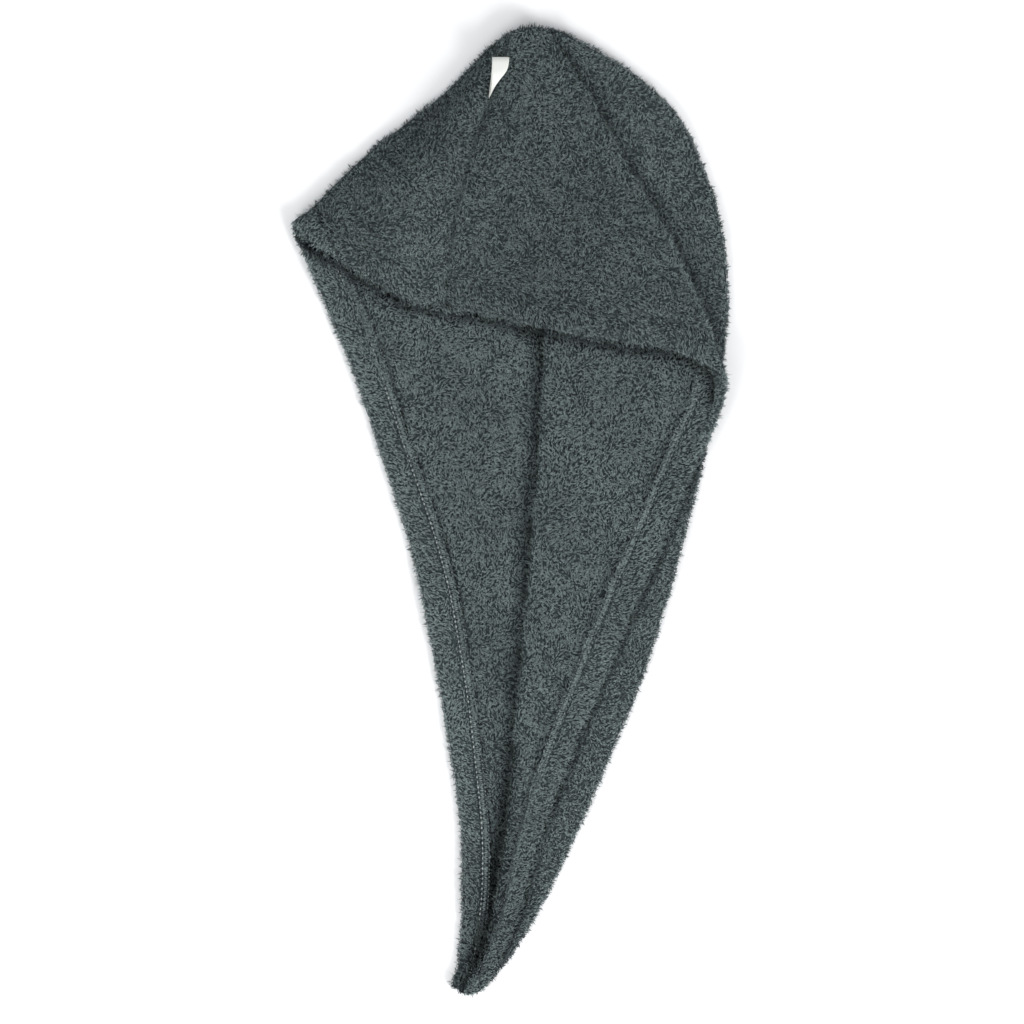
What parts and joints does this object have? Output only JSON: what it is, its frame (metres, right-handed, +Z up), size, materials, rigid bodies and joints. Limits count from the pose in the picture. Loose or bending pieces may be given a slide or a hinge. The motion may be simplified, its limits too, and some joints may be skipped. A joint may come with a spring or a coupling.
{
  "type": "hair turban towel",
  "caption": "Long pointed terry towel wrap lying flat, with a head pocket at its wide end, a tapering tail and a tape loop.",
  "frame": {"origin": "on the surface the towel lies on, under the middle of its bounding box", "axes": "+Y from the tail's tip to the crown, +X towards the right hem, +Z up from the surface"},
  "size_m": [0.2926, 0.6476, 0.0283],
  "materials": {
    "terry": "looped pile, matt",
    "tape": "flat woven elastic, matt"
  },
  "bodies": {
    "root": {"left_panel": "terry", "right_panel": "terry", "elastic_loop": "tape"}
  },
  "joints": []
}
